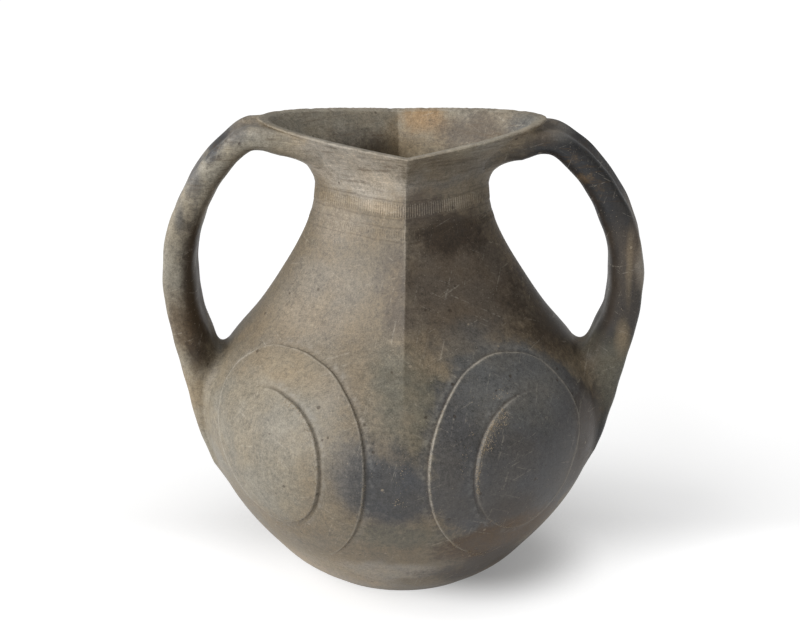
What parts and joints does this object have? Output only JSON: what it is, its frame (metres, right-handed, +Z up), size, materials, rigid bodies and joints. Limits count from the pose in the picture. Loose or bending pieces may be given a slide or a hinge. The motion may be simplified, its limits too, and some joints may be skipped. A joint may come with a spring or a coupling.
{
  "type": "two-handled pottery jar",
  "caption": "Burnished black pottery jar with a lozenge mouth, ridged neck, two strap handles and relief spirals on the belly.",
  "frame": {"origin": "centre of the flat foot, on the surface that the jar stands on", "axes": "+Z up, +X along the two handles, -Y out through the front ridge"},
  "size_m": [0.3269, 0.2748, 0.322],
  "materials": {
    "tan_grey_clay": "satin burnish, worn tan grey",
    "smoked_grey_clay": "satin burnish, smoked grey",
    "dark_grey_clay": "satin burnish, dark grey",
    "black_clay": "satin burnish, black worn to tan on the edges"
  },
  "bodies": {
    "root": {"base_slab": "tan_grey_clay", "lower_belly_wall": "smoked_grey_clay", "shoulder_wall": "smoked_grey_clay", "neck_collar": "smoked_grey_clay", "mouth_lip": "smoked_grey_clay", "left_handle": "black_clay", "right_handle": "black_clay", "front_left_volute": "tan_grey_clay", "front_right_volute": "dark_grey_clay", "back_left_volute": "dark_grey_clay", "back_right_volute": "tan_grey_clay"}
  },
  "joints": []
}
